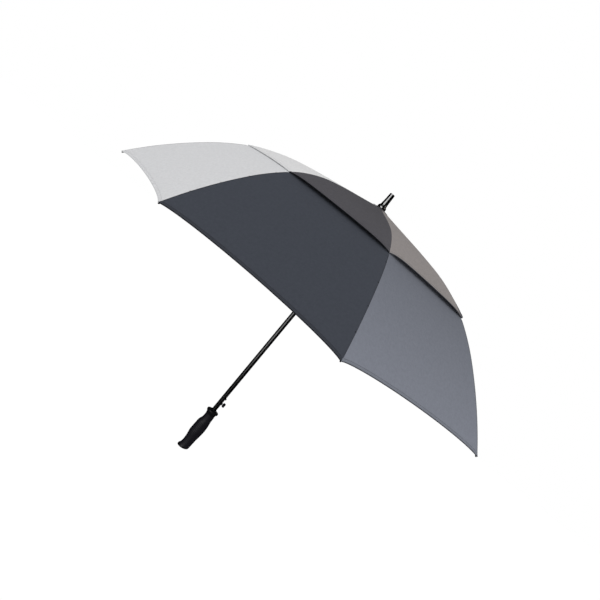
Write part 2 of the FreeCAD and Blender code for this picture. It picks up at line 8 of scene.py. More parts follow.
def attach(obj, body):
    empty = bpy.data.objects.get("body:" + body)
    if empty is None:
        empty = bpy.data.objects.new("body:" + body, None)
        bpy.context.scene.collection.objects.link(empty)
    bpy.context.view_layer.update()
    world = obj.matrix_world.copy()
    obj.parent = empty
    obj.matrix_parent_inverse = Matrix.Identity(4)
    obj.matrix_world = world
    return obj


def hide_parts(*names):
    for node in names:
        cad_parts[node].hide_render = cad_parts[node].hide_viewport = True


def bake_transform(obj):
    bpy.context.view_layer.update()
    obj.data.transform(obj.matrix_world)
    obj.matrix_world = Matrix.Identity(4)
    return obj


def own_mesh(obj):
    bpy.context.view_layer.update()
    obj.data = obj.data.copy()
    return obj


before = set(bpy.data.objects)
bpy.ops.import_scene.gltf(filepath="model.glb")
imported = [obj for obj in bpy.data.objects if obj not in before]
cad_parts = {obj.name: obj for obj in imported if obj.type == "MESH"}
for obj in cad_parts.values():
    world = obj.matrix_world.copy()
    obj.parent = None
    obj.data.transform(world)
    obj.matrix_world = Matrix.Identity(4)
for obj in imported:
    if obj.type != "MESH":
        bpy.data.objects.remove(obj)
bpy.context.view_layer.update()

# Canopy: metres, fractions along a rib, and its slope there in degrees below horizontal
RIBS = 8
STEP = 2 * math.pi / RIBS
HALF = STEP / 2
RIB_LENGTH = 0.757
CROWN_Z = 0.9075
STATIONS = (0.0, 0.12, 0.2, 0.34, 0.48, 0.548, 0.7, 0.85, 1.0)
SLOPES = (11.0, 10.5, 10.1, 12.8, 23.8, 31.0, 40.7, 45.6, 51.2)
CLOTH = 0.0005
LAYER_GAP = 0.0013
VENT_START = 0.0178
BEND_AT = 0.48
VENT_HEM = 0.548
MAIN_START = 0.5
MAIN_END = 1.002

# How far the hems curve in between their corners
MAIN_SCALLOP = 0.0237
MAIN_SCALLOP_POWER = 0.56
VENT_SCALLOP = 0.0110
VENT_SCALLOP_POWER = 0.68

# How far the vent's flap stands off, and how far the lower panel hangs away under it
VENT_LIFT = {"white": 0.0008, "charcoal": 0.0056, "grey": 0.0062}
VENT_LIFT_POWER = 7
LIFT_START = 0.44
TUCK = {"white": 0.0004, "charcoal": 0.0035, "grey": 0.0035}
TUCK_POWER = 5
TUCK_END = 0.62

# Hems and their stitches
HEM_WIDTH = 0.008
HEM_BEYOND = 0.0004
HEM_PROUD = 0.0006
HEM_EDGE_PROUD = 0.0002
EDGE_R = 0.0011
EDGE_INSET = 0.004
STITCH_INSET = 0.0015
STITCH_PROUD = 0.0005
STITCH_STOP = 0.012

# Seams: the groove above a rib, and the sewn allowance under it (its half width in metres)
SEAM_STEPS = (0.0, 0.0007, 0.0015, 0.003, 0.006)
SEAM_GROOVE = 0.0007
SEAM_GROOVE_WIDTH = 0.0012
TAPE_WIDTH = 0.0115
TAPE_END_WIDTH = 0.0125
TAPE_ROOT = 0.0063
TAPE_GROWTH = 0.033
TAPE_SLANT = 0.030
TAPE_THICK = 0.0004
TAPE_GAP = 0.0001
VENT_TAPE = (0.03, VENT_HEM - 0.004)
MAIN_TAPE = (MAIN_START, 0.992)
FELL_INSET = 0.0012
FELL_R = 0.0008
FELL_AFTER_HEM = 0.006

# Rods, their sleeves, tips and ties
ROD_OFFSET = -0.0045
ROD_R = 0.002
ROD_START = 0.472
ROD_END = 0.988
SLEEVE_AT = (0.462, 0.4775)
SLEEVE_R = 0.0028
SLEEVE_MOUTH_R = 0.0024
TIP_DROP = 0.0001
TIES_AT = (0.60, 0.70, 0.80, 0.90)
TIE_TURNS = 3
TIE_STEPS = 28
TIE_PITCH = 0.0009
TIE_R = 0.0003
TIE_HALF_WIDTH = 0.0029

# Push button and its return spring
BUTTON_Z = 0.1755
BUTTON_HALF = (0.0046, 0.0066)
BUTTON_SQUARENESS = 0.6
BUTTON_RIDGES = 5
BUTTON_RIDGE_PITCH = 0.0018
COIL_SPAN = (0.0077, 0.0108)
COIL_R = 0.0033
COIL_WIRE_R = 0.0003
COIL_TURNS = 3.5

# Tie strap and rosette
STRAP_PANEL = 1
STRAP_LENGTH = 0.150
STRAP_WIDTH = 0.024
STRAP_AT = 0.86
STRAP_OFFSET = -0.0034
STRAP_BOUND = 0.0008
STRAP_THIN = 0.0005
SNAP_INSET = 0.012
ROSETTE = (0.0082, 0.0240)
ROSETTE_RISE = 0.0011
ROSETTE_TEETH = 48
ROSETTE_TOOTH = 0.0016

# Two fractions along a rib, either side of the rod's bend
BLEND_AT = (0.474, 0.56)

# The umbrella is held in the air, well above the floor
FLOOR_Z = -2.6
FLOOR_HALF = 30.0

# Colour of each panel, from rib 1 round
TONES = ("white", "charcoal", "grey", "charcoal") * 2


def slope(s):
    """Slope of the canopy along a rib, in radians below horizontal."""
    for i in range(len(STATIONS) - 1):
        if s <= STATIONS[i + 1]:
            break
    part = (s - STATIONS[i]) / (STATIONS[i + 1] - STATIONS[i])
    return math.radians(SLOPES[i] + (SLOPES[i + 1] - SLOPES[i]) * part)


def meridian(s, offset=0.0):
    """Point (r, z) above a rib on the same chain of tangent arcs as the frame, moved off its surface."""
    r, z, angle = 0.0, CROWN_Z, slope(0.0)
    for low, high in zip(STATIONS, STATIONS[1:]):
        if s <= low:
            break
        part = (min(s, high) - low) / (high - low)
        turn = (slope(high) - slope(low)) * part
        middle = slope(low) + turn / 2
        chord = (high - low) * part * RIB_LENGTH * math.sin(turn / 2) / (turn / 2)
        r += chord * math.cos(middle)
        z -= chord * math.sin(middle)
        angle = slope(low) + turn
    return r + offset * math.sin(angle), z + offset * math.cos(angle)


def on_rib(k, s, offset=0.0):
    """Point above rib k (counted from 0), at fraction s."""
    r, z = meridian(s, offset)
    return Vector((r * math.cos(k * STEP), r * math.sin(k * STEP), z))


def panel_normal(k, s):
    """Outward normal of panel k at fraction s; it is the same all the way across."""
    r0, z0 = meridian(s - 0.002)
    r1, z1 = meridian(s + 0.002)
    along = Vector(((r1 - r0) * math.cos(HALF), z1 - z0)).normalized()
    middle = (k + 0.5) * STEP
    return Vector((-along[1] * math.cos(middle), -along[1] * math.sin(middle), along[0]))


def on_panel(k, s, u, offset=0.0):
    """Point on panel k, between rib k (u = 0) and the next one (u = 1)."""
    point = on_rib(k, s).lerp(on_rib(k + 1, s), u)
    return point + panel_normal(k, s) * offset


def scallop(depth, power, u):
    """How far a hem is pulled in between its corners, as a fraction of the rib."""
    return depth * max(0.0, 4 * u * (1 - u)) ** power


def fullness(u, power):
    """1 over most of a panel's width, falling to 0 at its two seams."""
    return 1 - abs(2 * u - 1) ** power


def vent_hem(u):
    """Fraction along the rib where the vent's flap ends."""
    return VENT_HEM - scallop(VENT_SCALLOP, VENT_SCALLOP_POWER, u)


def vent_join(_):
    """Fraction where the upper gore meets its flap, the same all the way across."""
    return BEND_AT


def main_hem(u):
    """Fraction along the rib where the lower canopy ends."""
    return MAIN_END - scallop(MAIN_SCALLOP, MAIN_SCALLOP_POWER, u)


def smooth(x):
    """Eased step from 0 to 1."""
    x = min(1.0, max(0.0, x))
    return x * x * (3 - 2 * x)


def vent_lift(tone):
    """How far a vent flap of one tone stands off the lower canopy, as a function of place."""
    def lift(s, u):
        rise = smooth((s - LIFT_START) / (VENT_HEM - LIFT_START))
        return VENT_LIFT[tone] * rise * fullness(u, VENT_LIFT_POWER)
    return lift


def vent_tuck(tone):
    """How far a lower panel of one tone hangs away under the vent's flap, as a function of place."""
    def tuck(s, u):
        fall = 1 - smooth((s - MAIN_START) / (TUCK_END - MAIN_START))
        return -TUCK[tone] * fall * fullness(u, TUCK_POWER)
    return tuck


def new_object(name, verts, faces, materials, smooth_faces=True, picks=None, uvs=None):
    """Mesh object with its normals made consistent."""
    mesh = bpy.data.meshes.new(name)
    mesh.from_pydata([tuple(v) for v in verts], [], faces)
    if uvs:
        layer = mesh.uv_layers.new(name="cloth")
        for loop in mesh.loops:
            layer.data[loop.index].uv = uvs[loop.vertex_index]
    if picks:
        mesh.polygons.foreach_set("material_index", picks)
    mesh.polygons.foreach_set("use_smooth", [smooth_faces] * len(mesh.polygons))
    mesh.update()
    work = bmesh.new()
    work.from_mesh(mesh)
    bmesh.ops.recalc_face_normals(work, faces=work.faces)
    work.to_mesh(mesh)
    work.free()
    obj = bpy.data.objects.new(name, mesh)
    bpy.context.collection.objects.link(obj)
    for material in materials:
        mesh.materials.append(material)
    return obj


def side_faces(rings, around, first=0):
    """Quads between neighbouring rings of points, which start at vertex first."""
    faces = []
    for i in range(rings - 1):
        for q in range(around):
            a, b = first + i * around + q, first + i * around + (q + 1) % around
            faces.append((a, b, b + around, a + around))
    return faces


def closed_rings(rings, around):
    """Faces of a closed body made of rings of points."""
    bottom = tuple(range(around - 1, -1, -1))
    top = tuple((rings - 1) * around + q for q in range(around))
    return side_faces(rings, around) + [bottom, top]


def sheet_object(name, outer, inner, uv, columns, materials, pick=None):
    """Closed thin sheet from two grids of points with the same number of columns."""
    rows = len(outer) // columns
    verts = outer + inner
    lower = len(outer)
    faces, picks = [], []
    for i in range(rows - 1):
        for j in range(columns - 1):
            a = i * columns + j
            quad = (a, a + 1, a + columns + 1, a + columns)
            faces += [quad, tuple(lower + q for q in reversed(quad))]
            picks += [pick(j) if pick else 0] * 2
    rim = list(range(columns))
    rim += [i * columns + columns - 1 for i in range(1, rows)]
    rim += [(rows - 1) * columns + j for j in range(columns - 2, -1, -1)]
    rim += [i * columns for i in range(rows - 2, 0, -1)]
    for a, b in zip(rim, rim[1:] + rim[:1]):
        faces.append((a, b, lower + b, lower + a))
        picks.append(pick(min(a % columns, b % columns, columns - 2)) if pick else 0)
    obj = new_object(name, verts, faces, materials, picks=picks, uvs=uv + uv)
    sharpen_rims(obj)
    return obj


def sharpen_rims(obj, angle=40):
    """Keep flat shading across sharp edges."""
    obj.data.set_sharp_from_angle(angle=math.radians(angle))


def across_steps(chord, count):
    """Fractions across a panel, with close steps beside each rib for the seam's groove."""
    share = [min(d / chord, 0.05 * i) for i, d in enumerate(SEAM_STEPS)]
    first = share[-1]
    inner = [first + (1 - 2 * first) * i / count for i in range(1, count)]
    return share + inner + [1 - x for x in reversed(share)]


def panel_grid(k, start, end_at, offset, rows, count, lift=None):
    """Points and cloth coordinates of one panel's outer face, from fraction start to end_at(u)."""
    points, uv = [], []
    for i in range(rows + 1):
        t = i / rows
        for u in across_steps(chord_at(start + (end_at(0.5) - start) * t), count):
            s = start + (end_at(u) - start) * t
            chord = chord_at(s)
            edge = min(u, 1 - u) * chord
            groove = SEAM_GROOVE * math.exp(-((edge / SEAM_GROOVE_WIDTH) ** 2))
            rise = lift(s, u) if lift else 0.0
            points.append(on_panel(k, s, u, offset - groove + rise))
            uv.append(((u - 0.5) * chord + k, s * RIB_LENGTH))
    return points, uv, count - 1 + 2 * len(SEAM_STEPS)


def chord_at(s):
    """Straight distance between two ribs at fraction s."""
    return 2 * meridian(s)[0] * math.sin(HALF)


def cloth_sheet(name, k, tone, start, end_at, offset, rows, count, lift=None):
    """One panel as a closed sheet of cloth."""
    outer, uv, columns = panel_grid(k, start, end_at, offset, rows, count, lift)
    inner, _, _ = panel_grid(k, start, end_at, offset - CLOTH, rows, count, lift)
    return sheet_object(name, outer, inner, uv, columns, [cloth(tone)])


# Materials

def shader(name):
    """A new material with its node tree and its principled shader."""
    material = bpy.data.materials.new(name)
    material.use_nodes = True
    nodes = material.node_tree.nodes
    return material, nodes, material.node_tree.links, nodes["Principled BSDF"]


def add(nodes, kind, **sockets):
    """A node with some of its input sockets set, by name."""
    node = nodes.new(kind)
    for key, value in sockets.items():
        node.inputs[key].default_value = value
    return node


def shades(nodes, links, factor, dark, light):
    """Colour ramp between two tones, driven by a factor."""
    ramp = nodes.new("ShaderNodeValToRGB")
    ramp.color_ramp.elements[0].color = (*dark, 1)
    ramp.color_ramp.elements[1].color = (*light, 1)
    links.new(factor, ramp.inputs["Fac"])
    return ramp.outputs["Color"]


def scaled(colour, factor):
    """Colour made darker or lighter."""
    return tuple(c * factor for c in colour)


def paint_shading(nodes, links, place, colour, shares):
    """Painted shading: colour scaled evenly along the cloth, from the vent's hem to the outer hem, for how
    the light falls there.
    """
    split = nodes.new("ShaderNodeSeparateXYZ")
    links.new(place.outputs["UV"], split.inputs[0])
    spread = add(nodes, "ShaderNodeMapRange")
    spread.inputs["From Min"].default_value = MAIN_START * RIB_LENGTH
    spread.inputs["From Max"].default_value = RIB_LENGTH
    spread.inputs["To Min"].default_value = shares[0]
    spread.inputs["To Max"].default_value = shares[1]
    links.new(split.outputs["Y"], spread.inputs["Value"])
    scale = nodes.new("ShaderNodeVectorMath")
    scale.operation = "SCALE"
    links.new(colour, scale.inputs[0])
    links.new(spread.outputs["Result"], scale.inputs["Scale"])
    return scale.outputs["Vector"]


def bump(nodes, links, height, strength, distance, under=None):
    """Bump node over an optional earlier one."""
    node = add(nodes, "ShaderNodeBump", Strength=strength, Distance=distance)
    links.new(height, node.inputs["Height"])
    if under:
        links.new(under, node.inputs["Normal"])
    return node.outputs["Normal"]


# Cloth colours: lower canopy, its hems, the upper canopy with painted light (lighter and warmer, for the
# warm light that falls on it), and the rolled edges with painted shade (darker than their cloth)
CLOTH_TONES = {
    "white": (0.560, 0.563, 0.575),
    "charcoal": (0.0460, 0.0510, 0.0635),
    "grey": (0.157, 0.168, 0.199),
    "hem_white": (0.55, 0.553, 0.565),
    "hem_charcoal": (0.0365, 0.0400, 0.0495),
    "hem_grey": (0.153, 0.164, 0.194),
    # Upper canopy: the lower canopy's tones with painted light, lighter and warmer for the warm light on
    # the vent
    "upper_white": (0.60, 0.60, 0.605),
    "upper_charcoal": (0.0700, 0.0680, 0.0760),
    "upper_grey": (0.222, 0.205, 0.201),
    # Rolled edges and felled seams: painted shade, darker than their cloth, for the shade along the hems'
    # edges and beside the seams
    "edge_white": (0.50, 0.505, 0.515),
    "edge_charcoal": (0.010, 0.011, 0.014),
    "edge_grey": (0.045, 0.048, 0.058),
}
# Painted shading: share of its colour that a cloth has at the vent and at the outer hem; the grey is darker
# at the vent and lighter at the outer hem, for how the light falls on it
PAINTED_SHADING = {"grey": (0.72, 1.10)}
# The wave texture repeats every 2 pi / (20 * scale), here 1.6 mm
WEAVE_SCALE = 200.0
GRAIN = 0.24
GRAIN_UPPER = 0.30
made_cloth = {}


def cloth(tone):
    """Coated polyester weave: crossing threads, faint mottling and slight slack in the cloth."""
    if tone in made_cloth:
        return made_cloth[tone]
    material, nodes, links, main = shader("cloth_" + tone)
    colour = CLOTH_TONES[tone]
    grain = GRAIN_UPPER if tone.startswith("upper") else GRAIN
    place = nodes.new("ShaderNodeTexCoord")
    mottle = add(nodes, "ShaderNodeTexNoise", Scale=150.0, Detail=5.0, Roughness=0.85)
    links.new(place.outputs["Object"], mottle.inputs["Vector"])
    tint = shades(nodes, links, mottle.outputs["Fac"], scaled(colour, 1 - grain), scaled(colour, 1 + grain))
    # Grey cloth gets painted shading along the rib, darker near the vent and lighter at the outer hem
    if tone in PAINTED_SHADING:
        tint = paint_shading(nodes, links, place, tint, PAINTED_SHADING[tone])
    links.new(tint, main.inputs["Base Color"])
    threads = []
    for direction in ("X", "Y"):
        wave = add(nodes, "ShaderNodeTexWave", Scale=WEAVE_SCALE, Distortion=0.6)
        wave.bands_direction = direction
        links.new(place.outputs["UV"], wave.inputs["Vector"])
        threads.append(wave.outputs["Fac"])
    weave = nodes.new("ShaderNodeMath")
    weave.operation = "MAXIMUM"
    links.new(threads[0], weave.inputs[0])
    links.new(threads[1], weave.inputs[1])
    slack = add(nodes, "ShaderNodeTexNoise", Scale=16.0, Detail=2.0, Roughness=0.5)
    links.new(place.outputs["Object"], slack.inputs["Vector"])
    soft = bump(nodes, links, slack.outputs["Fac"], 0.25, 0.002)
    links.new(bump(nodes, links, weave.outputs[0], 0.35, 0.00015, soft), main.inputs["Normal"])
    main.inputs["Roughness"].default_value = 0.72
    main.inputs["Specular IOR Level"].default_value = 0.02
    main.inputs["Sheen Weight"].default_value = 0.01
    main.inputs["Sheen Roughness"].default_value = 0.5
    made_cloth[tone] = material
    return material


def moulded(name, colour, roughness, grain_scale, grain, shine=0.1, coat=0.0):
    """Plastic, rubber or enamel: a fine grain, with patches that are a little smoother."""
    material, nodes, links, main = shader(name)
    place = nodes.new("ShaderNodeTexCoord")
    patches = add(nodes, "ShaderNodeTexNoise", Scale=45.0, Detail=3.0)
    links.new(place.outputs["Object"], patches.inputs["Vector"])
    tint = shades(nodes, links, patches.outputs["Fac"], scaled(colour, 0.85), scaled(colour, 1.15))
    links.new(tint, main.inputs["Base Color"])
    spread = add(nodes, "ShaderNodeMapRange")
    spread.inputs["To Min"].default_value = roughness * 0.88
    spread.inputs["To Max"].default_value = roughness * 1.12
    links.new(patches.outputs["Fac"], spread.inputs["Value"])
    links.new(spread.outputs["Result"], main.inputs["Roughness"])
    fine = add(nodes, "ShaderNodeTexNoise", Scale=grain_scale, Detail=2.0)
    links.new(place.outputs["Object"], fine.inputs["Vector"])
    links.new(bump(nodes, links, fine.outputs["Fac"], grain, 0.0003), main.inputs["Normal"])
    main.inputs["Coat Weight"].default_value = coat
    main.inputs["Specular IOR Level"].default_value = shine
    return material


def steel(name, colour, roughness):
    """Drawn wire or plate with fine lengthwise streaks."""
    material, nodes, links, main = shader(name)
    place = nodes.new("ShaderNodeTexCoord")
    stretch = add(nodes, "ShaderNodeMapping", Scale=(900.0, 900.0, 40.0))
    links.new(place.outputs["Object"], stretch.inputs["Vector"])
    streaks = add(nodes, "ShaderNodeTexNoise", Scale=1.0, Detail=2.0)
    links.new(stretch.outputs["Vector"], streaks.inputs["Vector"])
    tint = shades(nodes, links, streaks.outputs["Fac"], scaled(colour, 0.85), scaled(colour, 1.1))
    links.new(tint, main.inputs["Base Color"])
    links.new(bump(nodes, links, streaks.outputs["Fac"], 0.15, 0.0002), main.inputs["Normal"])
    main.inputs["Metallic"].default_value = 1.0
    main.inputs["Roughness"].default_value = roughness
    return material


RUBBER = moulded("grip_rubber", (0.0068, 0.0062, 0.0095), 0.5, 900.0, 0.5, 0.10)
TRIM = moulded("grip_trim", (0.004, 0.004, 0.005), 0.4, 700.0, 0.3, 0.10)
NYLON = moulded("moulded_nylon", (0.009, 0.009, 0.010), 0.45, 600.0, 0.3, 0.3)
GLOSS = moulded("gloss_black", (0.0015, 0.0015, 0.0018), 0.16, 300.0, 0.03, 0.6, 0.8)
FIBRE = moulded("fibreglass", (0.002, 0.002, 0.0023), 0.2, 500.0, 0.02, 0.35)
ENAMEL = moulded("black_enamel", (0.006, 0.006, 0.007), 0.3, 400.0, 0.1, 0.4)
WIRE = steel("spring_steel", (0.55, 0.55, 0.56), 0.3)
THREAD = moulded("dark_thread", (0.012, 0.012, 0.015), 0.8, 1500.0, 0.5)
PALE_THREAD = moulded("pale_thread", (0.40, 0.40, 0.42), 0.8, 1500.0, 0.5)
THREADS = {"white": PALE_THREAD, "charcoal": THREAD, "grey": THREAD}


# Canopy

def fold_cloth(piece, k, body):
    """Ride on one of panel k's bodies, with a mesh of its own."""
    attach(piece, "%s_panel_%d" % (body, k + 1))
    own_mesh(piece)


def declare(start, end):
    """Work out the length, width and area of a panel's flat cut between two fractions; nothing is done with
    them.
    """
    length = (end - start) * RIB_LENGTH
    width = chord_at(end)
    area = length * (chord_at(start) + width) / 2


def hem_band(name, k, hem_at, offset, tone, lift=None):
    """Folded and stitched edge of a panel, wrapped round the cloth."""
    width = HEM_WIDTH / RIB_LENGTH
    across = across_steps(chord_at(hem_at(0.5)), 40)
    outer, inner, uv = [], [], []
    for t in (0.0, 0.25, 0.75, 1.0):
        proud = HEM_PROUD if 0 < t < 1 else HEM_EDGE_PROUD
        for u in across:
            s = hem_at(u) - width * (1 - t) + HEM_BEYOND
            rise = lift(s, u) if lift else 0.0
            outer.append(on_panel(k, s, u, offset + rise + proud))
            inner.append(on_panel(k, s, u, offset + rise - CLOTH - proud))
            uv.append(((u - 0.5) * chord_at(s) + k, s * RIB_LENGTH))
    return sheet_object(name, outer, inner, uv, len(across), [cloth(tone)])


def between_seams(inset, count):
    """Even fractions across a panel, from inset to 1 - inset."""
    return [inset + (1 - 2 * inset) * i / count for i in range(count + 1)]


def hem_cord(name, k, hem_at, offset, tone, lift=None):
    """Fine rolled edge along a hem, in a darker tone: painted shade along the hem's edge."""
    points = []
    for u in between_seams(EDGE_INSET, 80):
        s = hem_at(u) + EDGE_R / RIB_LENGTH / 2
        rise = lift(s, u) if lift else 0.0
        points.append(on_panel(k, s, u, offset - CLOTH / 2 + rise))
    return tube(name, points, [EDGE_R] * len(points), cloth(tone), 8)


def stitch_row(name, points, normals, material, pitch=0.0036, length=0.0026, radius=0.00026):
    """Row of raised stitches along a line of points."""
    verts, faces = [], []
    run = 0.0
    for a, b, normal in zip(points, points[1:], normals):
        step = (b - a).length
        along = (b - a).normalized()
        side = along.cross(normal).normalized()
        while run < step:
            centre = a + along * run
            base = len(verts)
            for t, r in ((-0.5, 0.15), (-0.3, 1.0), (0.3, 1.0), (0.5, 0.15)):
                for across, up in ((1, 0), (0, 1), (-1, 0), (0, -1)):
                    out = side * across + normal * up
                    verts.append(centre + along * (t * length) + out * (radius * r))
            for ring in range(3):
                for q in range(4):
                    p = base + ring * 4
                    faces.append((p + q, p + (q + 1) % 4, p + 4 + (q + 1) % 4, p + 4 + q))
            faces.append(tuple(base + q for q in (3, 2, 1, 0)))
            faces.append(tuple(base + 12 + q for q in range(4)))
            run += pitch
        run -= step
    return new_object(name, verts, faces, [material])


def hem_stitches(name, k, hem_at, offset, material, lift=None):
    """Stitches near the inner edge of a hem."""
    inset = (HEM_WIDTH - STITCH_INSET) / RIB_LENGTH
    points, normals = [], []
    for u in between_seams(STITCH_STOP, 120):
        s = hem_at(u) - inset
        rise = lift(s, u) if lift else 0.0
        points.append(on_panel(k, s, u, offset + rise + STITCH_PROUD))
        normals.append(panel_normal(k, s))
    return stitch_row(name, points, normals, material)


def seam_tape(name, k, start, end, offset, rows, prefix="", end_width=TAPE_WIDTH, slant=0.0):
    """Sewn allowance under the seam above rib k, turned down to both sides; its end is cut to a point."""
    before = prefix + TONES[(k - 1) % RIBS]
    after = prefix + TONES[k]
    outer, inner, uv = [], [], []
    for i in range(rows + 1):
        t = i / rows
        for side in (-1.0, -0.5, 0.0, 0.5, 1.0):
            s = start + (end - slant * abs(side) - start) * t
            room = min(TAPE_ROOT + TAPE_GROWTH * s, 0.8 * meridian(s)[0] * math.tan(HALF))
            width = min(TAPE_WIDTH + (end_width - TAPE_WIDTH) * t, room)
            reach = abs(side) * width / chord_at(s)
            panel, u = (k, reach) if side > 0 else (k - 1, 1 - reach)
            for points, depth in ((outer, 0.0), (inner, TAPE_THICK)):
                if side:
                    points.append(on_panel(panel, s, u, offset - depth))
                else:
                    points.append(on_rib(k, s, offset - depth))
            uv.append((side * width + k, s * RIB_LENGTH))
    return sheet_object(name, outer, inner, uv, 5, [cloth(before), cloth(after)], pick=lambda j: int(j > 1))


def build_panels(k):
    """Panel k: upper gore, its flap over the vent, lower gore, hems and stitching."""
    tone = TONES[k]
    number = str(k + 1)
    # The vent's gore, flap and hem take the upper tone: the panel's cloth with painted light
    upper = "upper_" + tone
    lift = vent_lift(tone)
    gore = cloth_sheet("vent_gore_" + number, k, upper, VENT_START, vent_join, 0.0, 44, 24, lift)
    fold_cloth(gore, k, "vent")
    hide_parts("vent_panel_" + number)
    declare(VENT_START, BEND_AT)

    flap = cloth_sheet("vent_flap_" + number, k, upper, BEND_AT, vent_hem, 0.0, 12, 24, lift)
    hem = hem_band("vent_hem_" + number, k, vent_hem, 0.0, upper, lift)
    cord = hem_cord("vent_edge_" + number, k, vent_hem, 0.0, "edge_" + tone, lift)
    sewn = hem_stitches("vent_hem_stitches_" + number, k, vent_hem, 0.0, THREADS[tone], lift)
    for piece in (flap, hem, cord, sewn):
        fold_cloth(piece, k, "main")
    declare(BEND_AT, VENT_HEM)

    tuck = vent_tuck(tone)
    lower = cloth_sheet("main_gore_" + number, k, tone, MAIN_START, main_hem, -LAYER_GAP, 48, 32, tuck)
    edge = hem_band("main_hem_" + number, k, main_hem, -LAYER_GAP, "hem_" + tone)
    cord = hem_cord("main_edge_" + number, k, main_hem, -LAYER_GAP, "edge_" + tone)
    row = hem_stitches("main_hem_stitches_" + number, k, main_hem, -LAYER_GAP, THREADS[tone])
    for piece in (lower, edge, cord, row):
        fold_cloth(piece, k, "main")
    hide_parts("main_panel_" + number)
    declare(MAIN_START, 1.0)


# Ribs

def frames_along(points):
    """Tangent and two normals at each point of a path in one vertical plane."""
    out = []
    for i in range(len(points)):
        ahead = points[min(i + 1, len(points) - 1)]
        behind = points[max(i - 1, 0)]
        along = (ahead - behind).normalized()
        side = along.cross(Vector((0, 0, 1))).normalized()
        out.append((along, side, side.cross(along).normalized()))
    return out


def tube(name, points, radii, material, sides=16):
    """Closed tube along a path with a radius at each point."""
    verts = []
    for (_, side, up), point, radius in zip(frames_along(points), points, radii):
        for q in range(sides):
            angle = 2 * math.pi * q / sides
            verts.append(point + (side * math.cos(angle) + up * math.sin(angle)) * radius)
    obj = new_object(name, verts, closed_rings(len(points), sides), [material])
    sharpen_rims(obj, 35)
    return obj


def span(k, start, end, count, offset=ROD_OFFSET):
    """Points along rib k from one fraction to another."""
    return [on_rib(k, start + (end - start) * i / count, offset) for i in range(count + 1)]


def blend_at_bend(piece, k):
    """Bake a piece's placing into its mesh; the points at the rib's bend are worked out but not used."""
    start, finish = (on_rib(k, s, ROD_OFFSET) for s in BLEND_AT)
    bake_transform(piece)


def build_rib(k):
    """Rod beyond the bracket, the sleeve over its start, the tip, and the seam above rib k."""
    number = str(k + 1)
    path = span(k, ROD_START, ROD_END, 60)
    rod = tube("rib_rod_" + number, path, [ROD_R * 1.02] * len(path), FIBRE)
    blend_at_bend(rod, k)
    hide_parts("rib_end_" + number)

    path = span(k, *SLEEVE_AT, 8)
    radii = [SLEEVE_MOUTH_R] + [SLEEVE_R] * (len(path) - 2) + [SLEEVE_MOUTH_R]
    sleeve = tube("rib_sleeve_" + number, path, radii, ENAMEL)
    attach(sleeve, "rib_" + number)

    build_tip(k)
    build_tapes(k)
    build_ties(k)
    build_seam_fold(k)


# Rib tip: distance beyond the rib's end, and radius, with a waist for the thread
TIP_PROFILE = (
    (-0.0160, 0.0019), (-0.0155, 0.0021), (-0.0090, 0.0021), (-0.0086, 0.0019), (-0.0078, 0.0019),
    (-0.0074, 0.0021), (-0.0020, 0.0021), (-0.0004, 0.0018), (0.0010, 0.0012), (0.0015, 0.0003),
)


def build_tip(k):
    """Moulded tip that holds the canopy's corner on the rod."""
    end = on_rib(k, 1.0, ROD_OFFSET - TIP_DROP)
    along = (end - on_rib(k, 0.99, ROD_OFFSET - TIP_DROP)).normalized()
    path = [end + along * x for x, _ in TIP_PROFILE]
    tip = tube("rib_tip_%d" % (k + 1), path, [r for _, r in TIP_PROFILE], TRIM, 20)
    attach(tip, "rib_end_%d" % (k + 1))


def build_tapes(k):
    """Seam allowances above rib k, in the upper and the lower canopy."""
    number = str(k + 1)
    # The vent's seam tapes take the upper tones, with painted light
    upper = seam_tape("vent_seam_" + number, k, *VENT_TAPE, -CLOTH - TAPE_GAP, 40, "upper_")
    blend_at_bend(upper, k)
    under = -LAYER_GAP - CLOTH - TAPE_GAP
    lower = seam_tape("main_seam_" + number, k, *MAIN_TAPE, under, 36, "", TAPE_END_WIDTH, TAPE_SLANT)
    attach(lower, "rib_end_" + number)


def build_ties(k):
    """Thread loops that hold the lower canopy's seam to the rod."""
    number = str(k + 1)
    middle_offset = (ROD_OFFSET - ROD_R - LAYER_GAP - CLOTH) / 2
    half_height = (abs(ROD_OFFSET) + ROD_R - LAYER_GAP) / 2
    steps, sides = TIE_STEPS * TIE_TURNS, 6
    for i, s in enumerate(TIES_AT):
        verts = []
        middle = on_rib(k, s, middle_offset)
        along = (on_rib(k, s + 0.01) - on_rib(k, s - 0.01)).normalized()
        side = along.cross(Vector((0, 0, 1))).normalized()
        up = side.cross(along).normalized()
        for n in range(steps + 1):
            turn = 2 * math.pi * TIE_TURNS * n / steps
            out = side * (math.cos(turn) * TIE_HALF_WIDTH) + up * (math.sin(turn) * half_height)
            point = middle + out + along * (TIE_PITCH * (n / steps - 0.5) * TIE_TURNS)
            for q in range(sides):
                angle = 2 * math.pi * q / sides
                verts.append(point + (out.normalized() * math.cos(angle) + along * math.sin(angle)) * TIE_R)
        tie = new_object("rib_tie_%s_%d" % (number, i + 1), verts, closed_rings(steps + 1, sides), [THREAD])
        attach(tie, "rib_end_" + number)


def build_seam_fold(k):
    """Felled edge just under the lower seam, on the side whose cloth isn't white, in a darker tone: painted
    shade beside the seam.
    """
    tone = TONES[k] if TONES[k] != "white" else TONES[(k - 1) % RIBS]
    start, finish = VENT_HEM + FELL_AFTER_HEM, MAIN_TAPE[1]
    points = []
    for i in range(61):
        s = start + (finish - start) * i / 60
        reach = FELL_INSET / chord_at(s)
        panel, u = (k, reach) if tone == TONES[k] else (k - 1, 1 - reach)
        points.append(on_panel(panel, s, u, -LAYER_GAP - FELL_R * 0.6))
    fold = tube("seam_fell_%d" % (k + 1), points, [FELL_R] * len(points), cloth("edge_" + tone), 8)
    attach(fold, "rib_end_%d" % (k + 1))


for panel in range(RIBS):
    build_panels(panel)
for rib in range(RIBS):
    build_rib(rib)


# Handle

